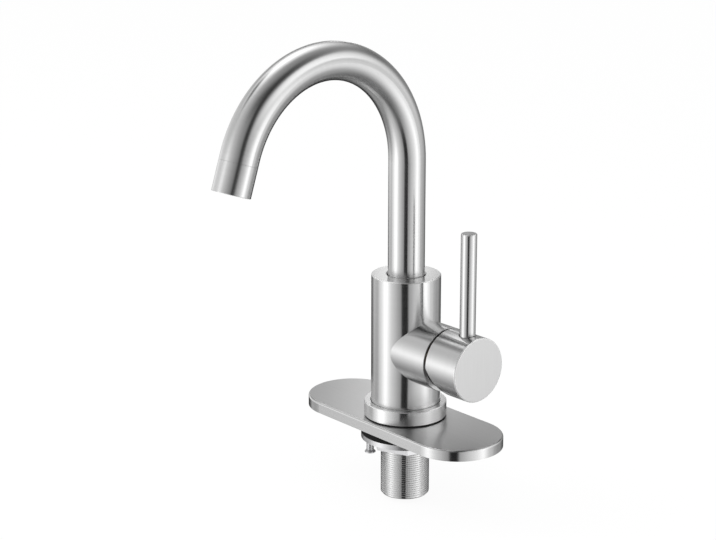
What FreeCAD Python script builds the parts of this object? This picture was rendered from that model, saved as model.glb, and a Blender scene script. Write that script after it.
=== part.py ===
import FreeCAD, Part
import os
import re

import Sketcher

# Single-handle bar faucet: gooseneck spout on a round column, side lever, deck plate and threaded shank.
# The origin lies on the shank's axis in the plane of the deck. +Z is up, the spout points to -Y and
# the handle stands on the +X side. Lengths are in millimetres, angles in degrees.

SIZES = {
    # Deck plate: a pressed stainless shell, its moulded support and the seal under them
    "plate_length": 161.8,
    "plate_width": 60.5,
    "plate_height": 7.3,
    "plate_wall": 0.8,
    "plate_round": 1.2,
    "plate_hole": 18.4,
    "plate_shift": 2.0,
    "plate_turn": 0.4,
    "support_web": 1.6,
    "support_rib": 3.0,
    "cell_start": 33.0,
    "cell_length": 15.0,
    "cell_width": 14.0,
    "seal_width": 3.0,
    "seal_depth": 1.5,
    # Base ring and the gasket it stands on
    "ring_radius": 26.9,
    "ring_height": 9.3,
    "ring_lip": 3.0,
    "ring_chamfer": 0.5,
    "gasket_thickness": 0.9,
    "gasket_inset": 0.5,
    # Column and side barrel of the valve body
    "column_radius": 22.5,
    "column_top": 103.0,
    "column_chamfer": 0.6,
    "barrel_radius": 20.9,
    "barrel_height": 54.7,
    "barrel_reach": 39.6,
    "barrel_chamfer": 0.3,
    # Waterways inside the valve body
    "tap_radius": 4.46,
    "tap_depth": 14.0,
    "tap_side": 8.0,
    "channel_radius": 3.0,
    "channel_side": 12.0,
    "channel_overlap": 4.0,
    "inlet_port": 2.6,
    "inlet_side": 8.3,
    "inlet_rise": 3.0,
    "outlet_port": 3.5,
    "outlet_drop": 7.0,
    "riser_radius": 4.2,
    # Threaded shank
    "shank_radius": 16.0,
    "shank_bore": 13.0,
    "shank_drop": 47.1,
    "shank_grip": 14.0,
    "shank_chamfer": 1.0,
    # Clamp under the deck: rubber washer, steel washer, flanged nut and its jack screws
    "washer_radius": 29.0,
    "rubber_thickness": 4.4,
    "washer_thickness": 1.0,
    "flange_thickness": 2.4,
    "nut_height": 6.2,
    "nut_across": 38.0,
    "nut_turn": 22.0,
    "jack_radius": 2.45,
    "jack_circle": 23.0,
    "jack_reach": 11.8,
    "jack_head_radius": 3.55,
    "jack_head_height": 0.8,
    # Ceramic cartridge
    "cartridge_radius": 17.4,
    "seal_stand": 0.3,
    "seal_groove": 1.0,
    "seal_wall": 1.6,
    "base_thickness": 3.0,
    "peg_radius": 1.5,
    "peg_length": 2.5,
    "peg_side": 11.5,
    "peg_drop": 8.0,
    "disc_thickness": 4.0,
    "fixed_disc_radius": 14.7,
    "moving_disc_radius": 12.4,
    "disc_rest": 2.1,
    "mixing_radius": 7.4,
    "mixing_depth": 2.4,
    "mixing_drop": 3.4,
    "carrier_thickness": 5.0,
    "carrier_floor": 0.8,
    "tongue_width": 12.0,
    "tongue_height": 1.0,
    "tongue_length": 19.0,
    "rotor_flange": 2.8,
    "rotor_stand": 1.2,
    "housing_bore": 15.0,
    "housing_wall": 2.8,
    "neck_radius": 12.0,
    "neck_bore": 10.0,
    "neck_stand": 0.8,
    "nut_radius": 18.3,
    "nut_recess": 0.6,
    "lock_height": 5.5,
    "nut_runout": 1.0,
    "notch_width": 4.0,
    "notch_depth": 2.4,
    "pivot_rise": 2.5,
    "pivot_radius": 1.5,
    "pivot_length": 17.0,
    # Stem, hub and lever of the handle
    "ball_radius": 2.8,
    "stem_neck": 2.2,
    "stem_width": 8.0,
    "stem_root": 1.6,
    "stem_engage": 8.0,
    "tilt_range": 25.0,
    "bevel_spare": 4.2,
    "hub_gap": 1.6,
    "hub_length": 26.8,
    "hub_wall": 2.5,
    "hub_cavity": 9.0,
    "hub_round": 0.9,
    "lever_radius": 5.05,
    "lever_inset": 10.6,
    "lever_top": 141.3,
    "lever_chamfer": 0.4,
    "lever_recess": 1.5,
    "lever_recess_gap": 0.6,
    "lever_thread": 3.0,
    "lever_engage": 8.5,
    "grub_radius": 2.4,
    "grub_length": 8.0,
    "grub_key": 2.5,
    "grub_key_depth": 2.6,
    # Spout: bent tube, swivel stem, outlet sleeve and aerator
    "tube_radius": 11.9,
    "tube_wall": 1.2,
    "tube_sink": 12.0,
    "tube_play": 0.5,
    "countersink_width": 0.8,
    "bend_radius": 71.3,
    "bend_height": 178.4,
    "bend_angle": 161.0,
    "tail_length": 3.7,
    "spout_turn": 3.2,
    "stem_flange": 3.0,
    "spigot_length": 10.0,
    "socket_radius": 10.0,
    "journal_length": 16.2,
    "journal_bore": 6.5,
    "glide_thickness": 1.0,
    "ring_cord": 0.85,
    "ring_spread": 4.6,
    "catch_width": 4.4,
    "catch_depth": 1.95,
    "catch_tip": 1.9,
    "outlet_length": 18.8,
    "outlet_spigot": 5.0,
    "outlet_step": 10.5,
    "outlet_waist": 9.0,
    "outlet_chamfer": 0.3,
    "seam_chamfer": 0.15,
    "aerator_recess": 1.0,
    "aerator_wall": 1.7,
    "aerator_lip": 1.0,
    "aerator_seal": 1.5,
    "insert_thickness": 3.0,
    "screen_thickness": 0.6,
    "jet_radius": 1.05,
    "jet_spacing": 2.8,
    # Clearances: pieces that stay still, sliding pieces, turning fits and threads
    "fit_gap": 0.2,
    "slide_gap": 0.3,
    "run_gap": 0.06,
    "thread_gap": 0.15,
    "hole_gap": 0.5,
}

# Places worked out from the sizes above. Heights are over the deck, and places in the barrel
# are distances from the column's axis.
PLACES = {
    "plate_end": "(plate_length - plate_width) / 2",
    "plate_edge": "plate_width / 2",
    "support_edge": "plate_edge - plate_wall - fit_gap",
    "support_top": "plate_height - plate_wall",
    "shank_hole": "shank_radius + hole_gap",
    "ring_foot": "plate_height + gasket_thickness",
    "body_foot": "ring_foot + ring_lip",
    "ring_top": "ring_foot + ring_height",
    "shank_top": "body_foot + shank_grip",
    "tap_top": "shank_top + tap_depth",
    "inlet_height": "barrel_height + inlet_rise",
    "outlet_height": "barrel_height - outlet_drop",
    "rubber_foot": "-rubber_thickness",
    "washer_foot": "rubber_foot - washer_thickness",
    "flange_foot": "washer_foot - flange_thickness",
    "hex_foot": "flange_foot - nut_height",
    "nut_bore": "shank_radius + thread_gap",
    "nut_face": "barrel_reach - nut_recess",
    "housing_cap": "nut_face - lock_height",
    "housing_ledge": "housing_cap - housing_wall",
    "rotor_shoulder": "housing_ledge - slide_gap",
    "rotor_foot": "rotor_shoulder - rotor_flange",
    "carrier_top": "rotor_foot - slide_gap",
    "carrier_foot": "carrier_top - carrier_thickness",
    "moving_foot": "carrier_foot - disc_thickness",
    "base_top": "moving_foot - disc_thickness",
    "base_foot": "base_top - base_thickness",
    "seat_offset": "base_foot - seal_stand",
    "pocket_floor": "carrier_foot + carrier_floor",
    "ball_place": "pocket_floor + ball_radius + fit_gap / 2",
    "neck_top": "nut_face + neck_stand",
    "rotor_top": "neck_top + rotor_stand",
    "pivot_place": "housing_cap + pivot_rise",
    "stem_foot": "rotor_shoulder + stem_root",
    "hub_rim": "barrel_reach + hub_gap",
    "hub_end": "hub_rim + hub_length",
    "cavity_floor": "hub_rim + hub_cavity",
    "stem_end": "cavity_floor + stem_engage",
    "stem_side": "stem_width / 2",
    "slot_side": "stem_side + fit_gap",
    "slot_end": "stem_side / cos(tilt_range * 1 deg)"
    " + (rotor_top - pivot_place) * tan(tilt_range * 1 deg) + slide_gap * 2",
    "bevel_slope": "tan((tilt_range + bevel_spare) * 1 deg)",
    "lever_place": "hub_end - lever_inset",
    "lever_seat": "barrel_radius - lever_recess",
    "lever_length": "lever_top - barrel_height",
    "swivel_shoulder": "column_top - tube_sink",
    "glide_top": "swivel_shoulder + glide_thickness",
    "tube_foot": "glide_top + stem_flange",
    "tube_bore": "tube_radius - tube_wall",
    "journal_radius": "socket_radius - run_gap",
    "journal_foot": "swivel_shoulder - journal_length",
    "socket_floor": "journal_foot - slide_gap",
    "catch_height": "swivel_shoulder - journal_length / 2",
    "neck_hole": "tube_radius + tube_play",
    "aerator_end": "outlet_length - aerator_recess",
    "aerator_foot": "outlet_step + aerator_seal",
    "aerator_radius": "tube_bore - fit_gap",
    "aerator_bore": "aerator_radius - aerator_wall",
}

# Placements of the pieces that aren't built upright on the shank's axis. The plate lies a little off
# centre, by the play of its hole. In the barrel's frame local Z runs out along the barrel and local X is
# up. In the outlet's frame local Z follows the water.
FRAMES = {
    "plate": "placement(vector(-plate_shift; 0; 0); rotation(vector(0; 0; 1); -plate_turn))",
    "barrel": "placement(vector(0; 0; barrel_height); rotation(vector(1; 0; 1); 180))",
    "lever": "placement(vector(lever_place; 0; barrel_height); rotation(vector(0; 0; 1); 0))",
    "hub_grub": "placement(vector(lever_place; 0; barrel_height); rotation(vector(1; 0; 0); 180))",
    "back_grub": "placement(vector(0; 0; catch_height); rotation(vector(1; 0; 0); -90))",
    "spout": "placement(vector(0; 0; 0); rotation(vector(0; 0; 1); spout_turn))",
    "outlet": "placement(vector(0; 0; 0); rotation(vector(0; 0; 1); spout_turn))"
    " * placement(vector(0; -bend_radius * (1 - cos(bend_angle * 1 deg));"
    " bend_height + bend_radius * sin(bend_angle * 1 deg)); rotation(vector(1; 0; 0); bend_angle))"
    " * placement(vector(0; 0; tail_length); rotation(vector(0; 0; 1); 0))",
}

NAME = re.compile(r"[a-z]+(?:_[a-z]+)+")
SIDES = ("", "-")

doc = FreeCAD.newDocument("BarFaucet")
sheet = doc.addObject("Spreadsheet::Sheet", "dim")
for row, (alias, size) in enumerate(SIZES.items(), start=1):
    sheet.set(f"A{row}", alias.replace("_", " "))
    sheet.set(f"B{row}", str(size))
    sheet.setAlias(f"B{row}", alias)
doc.recompute()

nodes = []


def formula(text):
    """Spell a formula out: places in full, sizes as cells of the sheet."""

    def spelled(found):
        name = found.group(0)
        return f"({formula(PLACES[name])})" if name in PLACES else f"dim.{name}"

    return NAME.sub(spelled, text)


def value(text):
    return float(sheet.evalExpression(formula(text)))


def new_body(label, frame=None):
    body = doc.addObject("PartDesign::Body", label)
    body.Label = label
    if frame:
        body.setExpression("Placement", formula(FRAMES[frame]))
    nodes.append(body)
    return body


def new_sketch(body, name, role="XY_Plane", lift=None):
    """A sketch on one of the body's own origin planes, lifted along that plane's normal."""
    sketch = body.newObject("Sketcher::SketchObject", f"{body.Label}_{name}_sketch")
    plane = next(f for f in body.Origin.OriginFeatures if f.Role == role)
    sketch.AttachmentSupport = [(plane, "")]
    sketch.MapMode = "FlatFace"
    if lift:
        sketch.setExpression("AttachmentOffset.Base.z", formula(lift))
    return sketch


def limit(sketch, kind, args, text):
    """Add a constraint whose value follows a formula."""
    row = sketch.addConstraint(Sketcher.Constraint(kind, *args, value(text)))
    sketch.setExpression(f"Constraints[{row}]", formula(text))


def fix_point(sketch, geometry, point, x, y):
    """Tie a point of the sketch to the origin by its two distances."""
    limit(sketch, "DistanceX", (-1, 1, geometry, point), x)
    limit(sketch, "DistanceY", (-1, 1, geometry, point), y)


def outline(sketch, corners):
    """A closed outline of straight lines through corners given as pairs of formulas."""
    spots = [FreeCAD.Vector(value(x), value(y), 0) for x, y in corners]
    first = sketch.GeometryCount
    count = len(spots)
    for i in range(count):
        sketch.addGeometry(Part.LineSegment(spots[i], spots[(i + 1) % count]), False)
    for i in range(count):
        ends = (first + i, 2, first + (i + 1) % count, 1)
        sketch.addConstraint(Sketcher.Constraint("Coincident", *ends))
    for i, (x, y) in enumerate(corners):
        fix_point(sketch, first + i, 1, x, y)


def circle(sketch, radius, x="0", y="0"):
    centre = FreeCAD.Vector(value(x), value(y), 0)
    ring = Part.Circle(centre, FreeCAD.Vector(0, 0, 1), value(radius))
    geometry = sketch.addGeometry(ring, False)
    limit(sketch, "Radius", (geometry,), radius)
    fix_point(sketch, geometry, 3, x, y)


def hexagon(sketch, across, turn="0"):
    """A regular hexagon about the origin, by its width across flats and the turn of its first corner."""
    angles = [f"(60 * {k} + {turn}) * 1 deg" for k in range(6)]
    corners = [
        (f"{across} / sqrt(3) * cos({angle})", f"{across} / sqrt(3) * sin({angle})") for angle in angles
    ]
    outline(sketch, corners)


def stadium(sketch, end, radius):
    """Two straight sides and two round ends, whose centres lie at the given distance from the middle."""
    reach, r = value(end), value(radius)
    up = FreeCAD.Vector(0, 0, 1)
    right = Part.Circle(FreeCAD.Vector(reach, 0, 0), up, r)
    left = Part.Circle(FreeCAD.Vector(-reach, 0, 0), up, r)
    quarter = 1.5707963267948966
    top = sketch.addGeometry(
        Part.LineSegment(FreeCAD.Vector(-reach, r, 0), FreeCAD.Vector(reach, r, 0)), False
    )
    east = sketch.addGeometry(Part.ArcOfCircle(right, -quarter, quarter), False)
    low = sketch.addGeometry(
        Part.LineSegment(FreeCAD.Vector(reach, -r, 0), FreeCAD.Vector(-reach, -r, 0)), False
    )
    west = sketch.addGeometry(Part.ArcOfCircle(left, quarter, 3 * quarter), False)
    for ends in ((top, 2, east, 2), (east, 1, low, 1), (low, 2, west, 2), (west, 1, top, 1)):
        sketch.addConstraint(Sketcher.Constraint("Tangent", *ends))
    for arc in (east, west):
        sketch.addConstraint(Sketcher.Constraint("PointOnObject", arc, 3, -1))
    sketch.addConstraint(Sketcher.Constraint("Equal", east, west))
    limit(sketch, "Radius", (east,), radius)
    limit(sketch, "DistanceX", (-1, 1, east, 3), end)
    limit(sketch, "DistanceX", (west, 3, -1, 1), end)


def extrude(body, kind, name, sketch, length, back=False):
    """A pad along the sketch's normal or a pocket against it, or the other way where back is set."""
    feature = body.newObject(f"PartDesign::{kind}", f"{body.Label}_{name}")
    feature.Profile = sketch
    feature.Reversed = back
    feature.setExpression("Length", formula(length))
    return feature


def pierce(body, name, sketch):
    """A pocket right through the body, both ways from the sketch."""
    feature = body.newObject("PartDesign::Pocket", f"{body.Label}_{name}")
    feature.Profile = sketch
    feature.Type = "ThroughAll"
    feature.Midplane = True
    return feature


def spin(body, kind, name, corners):
    """A profile of (radius, height) corners, turned round the body's own Z axis."""
    sketch = new_sketch(body, name, "XZ_Plane")
    outline(sketch, corners)
    feature = body.newObject(f"PartDesign::{kind}", f"{body.Label}_{name}")
    feature.Profile = sketch
    feature.ReferenceAxis = (sketch, ["V_Axis"])
    feature.Angle = 360
    return feature


def turned(label, corners, frame=None):
    """A piece made by turning one profile."""
    body = new_body(label, frame)
    spin(body, "Revolution", "turn", corners)
    return body


def flat_ring(label, inner, outer, foot, top, frame=None):
    corners = [(inner, foot), (outer, foot), (outer, top), (inner, top)]
    return turned(label, corners, frame)


def edges_at(shape, axis, place):
    """Names of the edges that lie in the plane where the given coordinate has the given value."""
    found = []
    for number, edge in enumerate(shape.Edges, start=1):
        box = edge.BoundBox
        low, high = getattr(box, f"{axis}Min"), getattr(box, f"{axis}Max")
        if max(abs(low - place), abs(high - place)) < 1e-4:
            found.append(f"Edge{number}")
    return found


def ease(body, kind, name, base, edges, size):
    """A fillet or chamfer along edges of the last feature."""
    feature = body.newObject(f"PartDesign::{kind}", f"{body.Label}_{name}")
    feature.Base = (base, edges)
    feature.setExpression("Radius" if kind == "Fillet" else "Size", formula(size))
    return feature


def make_deck_plate():
    """The pressed shell, open below, with the hole that the shank goes through."""
    body = new_body("deck_plate", "plate")
    sketch = new_sketch(body, "slab")
    stadium(sketch, "plate_end", "plate_edge")
    slab = extrude(body, "Pad", "slab", sketch, "plate_height")
    doc.recompute()
    top_edges = edges_at(slab.Shape, "Z", value("plate_height"))
    ease(body, "Fillet", "edge", slab, top_edges, "plate_round")
    sketch = new_sketch(body, "hollow")
    stadium(sketch, "plate_end", "plate_edge - plate_wall")
    extrude(body, "Pocket", "hollow", sketch, "support_top", back=True)
    sketch = new_sketch(body, "hole")
    circle(sketch, "plate_hole")
    pierce(body, "hole", sketch)


def make_plate_support():
    """The ribbed moulding that fills the shell, stepped in below for the seal."""
    body = new_body("plate_support", "plate")
    sketch = new_sketch(body, "block", lift="seal_depth")
    stadium(sketch, "plate_end", "support_edge")
    extrude(body, "Pad", "block", sketch, "support_top - seal_depth")
    sketch = new_sketch(body, "step")
    stadium(sketch, "plate_end", "support_edge - seal_width - fit_gap")
    extrude(body, "Pad", "step", sketch, "seal_depth")
    sketch = new_sketch(body, "hole")
    circle(sketch, "plate_hole")
    pierce(body, "hole", sketch)
    sketch = new_sketch(body, "cells")
    near, far = "support_rib / 2", "support_rib / 2 + cell_width"
    for column in range(2):
        start = f"cell_start + {column} * (cell_length + support_rib)"
        stop = f"({start} + cell_length)"
        for x_side in SIDES:
            for y_side in SIDES:
                xs = (f"{x_side}({start})", f"{x_side}{stop}")
                ys = (f"{y_side}({near})", f"{y_side}({far})")
                outline(sketch, [(xs[0], ys[0]), (xs[1], ys[0]), (xs[1], ys[1]), (xs[0], ys[1])])
    extrude(body, "Pocket", "cells", sketch, "support_top - support_web", back=True)


def make_plate_seal():
    """The rubber strip round the rim that lies on the deck."""
    body = new_body("plate_seal", "plate")
    sketch = new_sketch(body, "strip")
    stadium(sketch, "plate_end", "support_edge")
    stadium(sketch, "plate_end", "support_edge - seal_width")
    extrude(body, "Pad", "strip", sketch, "seal_depth")


def make_base():
    """The base ring that the column stands in, and the gasket between it and the plate."""
    flat_ring("base_gasket", "shank_hole", "ring_radius - gasket_inset", "plate_height", "ring_foot")
    turned(
        "base_ring",
        [
            ("shank_hole", "ring_foot"),
            ("ring_radius", "ring_foot"),
            ("ring_radius", "ring_top - ring_chamfer"),
            ("ring_radius - ring_chamfer", "ring_top"),
            ("column_radius + fit_gap + ring_chamfer", "ring_top"),
            ("column_radius + fit_gap", "ring_top - ring_chamfer"),
            ("column_radius + fit_gap", "body_foot"),
            ("shank_hole", "body_foot"),
        ],
    )


def make_shank():
    """The hollow shank, screwed into the column's foot. The supply hoses pass up its bore."""
    turned(
        "threaded_shank",
        [
            ("shank_bore", "-shank_drop"),
            ("shank_radius - shank_chamfer", "-shank_drop"),
            ("shank_radius", "-shank_drop + shank_chamfer"),
            ("shank_radius", "shank_top"),
            ("shank_bore", "shank_top"),
        ],
    )


def make_valve_body():
    """Column and side barrel in one casting, with the sockets and waterways cut into it."""
    body = new_body("valve_body")
    spin(
        body,
        "Revolution",
        "column",
        [
            ("0", "body_foot"),
            ("column_radius", "body_foot"),
            ("column_radius", "column_top - column_chamfer"),
            ("column_radius - column_chamfer", "column_top"),
            ("0", "column_top"),
        ],
    )
    sketch = new_sketch(body, "barrel", "YZ_Plane")
    circle(sketch, "barrel_radius", "0", "barrel_height")
    barrel = extrude(body, "Pad", "barrel", sketch, "barrel_reach")
    doc.recompute()
    rim = edges_at(barrel.Shape, "X", value("barrel_reach"))
    ease(body, "Chamfer", "barrel_edge", barrel, rim, "barrel_chamfer")

    # The spout's socket from above, with the riser that brings mixed water up to it
    spin(
        body,
        "Groove",
        "spout_socket",
        [
            ("0", "outlet_height - riser_radius"),
            ("riser_radius", "outlet_height - riser_radius"),
            ("riser_radius", "socket_floor"),
            ("socket_radius", "socket_floor"),
            ("socket_radius", "swivel_shoulder"),
            ("neck_hole", "swivel_shoulder"),
            ("neck_hole", "column_top - countersink_width"),
            ("neck_hole + countersink_width", "column_top"),
            ("0", "column_top"),
        ],
    )
    # The shank's socket from below
    spin(
        body,
        "Groove",
        "shank_socket",
        [
            ("0", "body_foot"),
            ("shank_radius + thread_gap", "body_foot"),
            ("shank_radius + thread_gap", "shank_top"),
            ("0", "shank_top"),
        ],
    )
    # The cartridge's chamber, wider at the mouth where its nut screws in
    sketch = new_sketch(body, "chamber", "YZ_Plane", "barrel_reach")
    circle(sketch, "cartridge_radius + fit_gap", "0", "barrel_height")
    extrude(body, "Pocket", "chamber", sketch, "barrel_reach - seat_offset")
    sketch = new_sketch(body, "mouth", "YZ_Plane", "barrel_reach")
    circle(sketch, "nut_radius + thread_gap", "0", "barrel_height")
    extrude(body, "Pocket", "mouth", sketch, "barrel_reach - housing_cap + nut_runout")
    # Ports in the seat: two inlets above, the outlet below
    sketch = new_sketch(body, "ports", "YZ_Plane", "seat_offset")
    for side in SIDES:
        circle(sketch, "inlet_port", f"{side}inlet_side", "inlet_height")
    circle(sketch, "outlet_port", "0", "outlet_height")
    extrude(body, "Pocket", "ports", sketch, "seat_offset")
    sketch = new_sketch(body, "peg_holes", "YZ_Plane", "seat_offset")
    for side in SIDES:
        circle(sketch, "peg_radius + fit_gap", f"{side}peg_side", "barrel_height - peg_drop")
    extrude(body, "Pocket", "peg_holes", sketch, "peg_length")
    # Hose threads in the foot, and the channels that lead from them up to the inlet ports
    sketch = new_sketch(body, "taps", lift="shank_top")
    for side in SIDES:
        circle(sketch, "tap_radius", "0", f"{side}tap_side")
    extrude(body, "Pocket", "taps", sketch, "tap_depth", back=True)
    sketch = new_sketch(body, "channels", lift="tap_top - channel_overlap")
    for side in SIDES:
        circle(sketch, "channel_radius", "0", f"{side}channel_side")
    climb = "inlet_height + channel_radius - (tap_top - channel_overlap)"
    extrude(body, "Pocket", "channels", sketch, climb, back=True)
    # The retaining screw's hole, through the back of the column into the socket
    sketch = new_sketch(body, "screw_hole", "XZ_Plane")
    circle(sketch, "grub_radius + thread_gap", "0", "catch_height")
    extrude(body, "Pocket", "screw_hole", sketch, "column_radius")


def cartridge_ports(sketch, spare="0"):
    """The three water ways through the cartridge's foot, in the barrel's frame."""
    for side in SIDES:
        circle(sketch, f"inlet_port + {spare}", "inlet_rise", f"{side}inlet_side")
    circle(sketch, f"outlet_port + {spare}", "-outlet_drop", "0")


def make_cartridge_base():
    """The cartridge's foot: ports, a groove round each for its seal, and two locating pegs."""
    body = new_body("cartridge_base", "barrel")
    sketch = new_sketch(body, "plate", lift="base_foot")
    circle(sketch, "cartridge_radius")
    extrude(body, "Pad", "plate", sketch, "base_thickness")
    sketch = new_sketch(body, "pegs", lift="base_foot")
    for side in SIDES:
        circle(sketch, "peg_radius", "-peg_drop", f"{side}peg_side")
    extrude(body, "Pad", "pegs", sketch, "peg_length", back=True)
    sketch = new_sketch(body, "ports", lift="base_top")
    cartridge_ports(sketch)
    extrude(body, "Pocket", "ports", sketch, "base_thickness")
    sketch = new_sketch(body, "grooves", lift="base_foot")
    cartridge_ports(sketch, "seal_wall + fit_gap / 2")
    extrude(body, "Pocket", "grooves", sketch, "seal_groove", back=True)


def make_cartridge_seals():
    """Rubber rings that seal the ports against the seat."""
    body = new_body("cartridge_seals", "barrel")
    sketch = new_sketch(body, "rings", lift="seat_offset")
    cartridge_ports(sketch)
    cartridge_ports(sketch, "seal_wall")
    extrude(body, "Pad", "rings", sketch, "seal_stand + seal_groove")


def make_discs():
    """The fixed ceramic disc with its ports, and the moving one with a mixing hollow underneath."""
    fixed = new_body("fixed_disc", "barrel")
    sketch = new_sketch(fixed, "disc", lift="base_top")
    circle(sketch, "fixed_disc_radius")
    extrude(fixed, "Pad", "disc", sketch, "disc_thickness")
    sketch = new_sketch(fixed, "ports", lift="moving_foot")
    cartridge_ports(sketch)
    extrude(fixed, "Pocket", "ports", sketch, "disc_thickness")

    moving = new_body("moving_disc", "barrel")
    sketch = new_sketch(moving, "disc", lift="moving_foot")
    circle(sketch, "moving_disc_radius", "-disc_rest")
    extrude(moving, "Pad", "disc", sketch, "disc_thickness")
    sketch = new_sketch(moving, "hollow", lift="moving_foot")
    circle(sketch, "mixing_radius", "-mixing_drop")
    extrude(moving, "Pocket", "hollow", sketch, "mixing_depth", back=True)


def make_disc_carrier():
    """The driver on the moving disc: a pocket for the stem's ball, and a tongue that keeps it square."""
    body = new_body("disc_carrier", "barrel")
    sketch = new_sketch(body, "disc", lift="carrier_foot")
    circle(sketch, "moving_disc_radius", "-disc_rest")
    extrude(body, "Pad", "disc", sketch, "carrier_thickness")
    sketch = new_sketch(body, "tongue", lift="carrier_top")
    low, high = "-disc_rest - tongue_length / 2", "-disc_rest + tongue_length / 2"
    side = "tongue_width / 2"
    outline(sketch, [(low, f"-{side}"), (high, f"-{side}"), (high, side), (low, side)])
    extrude(body, "Pad", "tongue", sketch, "tongue_height")
    sketch = new_sketch(body, "pocket", lift="carrier_top + tongue_height")
    circle(sketch, "ball_radius + slide_gap")
    extrude(body, "Pocket", "pocket", sketch, "carrier_thickness + tongue_height - carrier_floor")


def make_stem_carrier():
    """The rotor that turns with the lever: slotted for the stem, grooved for the carrier's tongue."""
    body = new_body("stem_carrier", "barrel")
    neck = "neck_bore - run_gap"
    flange = "housing_bore - slide_gap"
    spin(
        body,
        "Revolution",
        "rotor",
        [
            ("0", "rotor_foot"),
            (flange, "rotor_foot"),
            (flange, "rotor_shoulder"),
            (neck, "rotor_shoulder"),
            (neck, "rotor_top"),
            ("0", "rotor_top"),
        ],
    )
    sketch = new_sketch(body, "groove", lift="rotor_foot")
    side, reach = "(tongue_width / 2 + slide_gap)", "housing_bore"
    outline(sketch, [(f"-{reach}", f"-{side}"), (reach, f"-{side}"), (reach, side), (f"-{reach}", side)])
    extrude(body, "Pocket", "groove", sketch, "tongue_height", back=True)
    sketch = new_sketch(body, "slot", lift="rotor_top")
    ends, sides = ("-slot_end", "slot_end"), ("-slot_side", "slot_side")
    outline(sketch, [(ends[0], sides[0]), (ends[1], sides[0]), (ends[1], sides[1]), (ends[0], sides[1])])
    extrude(body, "Pocket", "slot", sketch, "rotor_top - rotor_foot")
    sketch = new_sketch(body, "pin_hole", "XZ_Plane")
    circle(sketch, "pivot_radius + run_gap", "0", "pivot_place")
    pierce(body, "pin_hole", sketch)


def make_stem_pin():
    """The cross pin that the stem rocks on."""
    body = new_body("stem_pin", "barrel")
    sketch = new_sketch(body, "pin", "XZ_Plane")
    circle(sketch, "pivot_radius", "0", "pivot_place")
    pin = extrude(body, "Pad", "pin", sketch, "pivot_length")
    pin.Midplane = True


def make_cartridge_housing():
    """The cartridge's outer shell, closed in to a neck that guides the rotor."""
    turned(
        "cartridge_housing",
        [
            ("housing_bore", "base_top"),
            ("cartridge_radius", "base_top"),
            ("cartridge_radius", "housing_cap"),
            ("neck_radius", "housing_cap"),
            ("neck_radius", "neck_top"),
            ("neck_bore", "neck_top"),
            ("neck_bore", "housing_ledge"),
            ("housing_bore", "housing_ledge"),
        ],
        "barrel",
    )


def make_cartridge_nut():
    """The ring nut that holds the cartridge down, with notches for a pin spanner."""
    body = flat_ring(
        "cartridge_nut", "neck_radius + slide_gap", "nut_radius", "housing_cap", "nut_face", "barrel"
    )
    sketch = new_sketch(body, "notch", lift="nut_face")
    side = "notch_width / 2"
    inner, outer = "neck_radius + slide_gap + notch_depth", "nut_radius + notch_depth"
    outline(sketch, [(inner, f"-{side}"), (outer, f"-{side}"), (outer, side), (inner, side)])
    notch = extrude(body, "Pocket", "notch", sketch, "notch_depth")
    doc.recompute()
    pattern = body.newObject("PartDesign::PolarPattern", "cartridge_nut_notches")
    pattern.Originals = [notch]
    pattern.Axis = (sketch, ["N_Axis"])
    pattern.Angle = 360
    pattern.Occurrences = 4
    body.Tip = pattern


def make_stem():
    """The square stem of the handle, necked down to the ball that drives the discs."""
    body = new_body("cartridge_stem", "barrel")
    sketch = new_sketch(body, "square", lift="stem_foot")
    ends = ("-stem_side", "stem_side")
    outline(sketch, [(ends[0], ends[0]), (ends[1], ends[0]), (ends[1], ends[1]), (ends[0], ends[1])])
    extrude(body, "Pad", "square", sketch, "stem_end - stem_foot")
    sketch = new_sketch(body, "neck", lift="ball_place")
    circle(sketch, "stem_neck")
    extrude(body, "Pad", "neck", sketch, "stem_foot - ball_place")
    ball = body.newObject("PartDesign::AdditiveSphere", "cartridge_stem_ball")
    plane = next(f for f in body.Origin.OriginFeatures if f.Role == "XY_Plane")
    ball.AttachmentSupport = [(plane, "")]
    ball.MapMode = "FlatFace"
    ball.setExpression("AttachmentOffset.Base.z", formula("ball_place"))
    ball.setExpression("Radius", formula("ball_radius"))
    sketch = new_sketch(body, "pin_hole", "XZ_Plane")
    circle(sketch, "pivot_radius + run_gap", "0", "pivot_place")
    pierce(body, "pin_hole", sketch)


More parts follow.
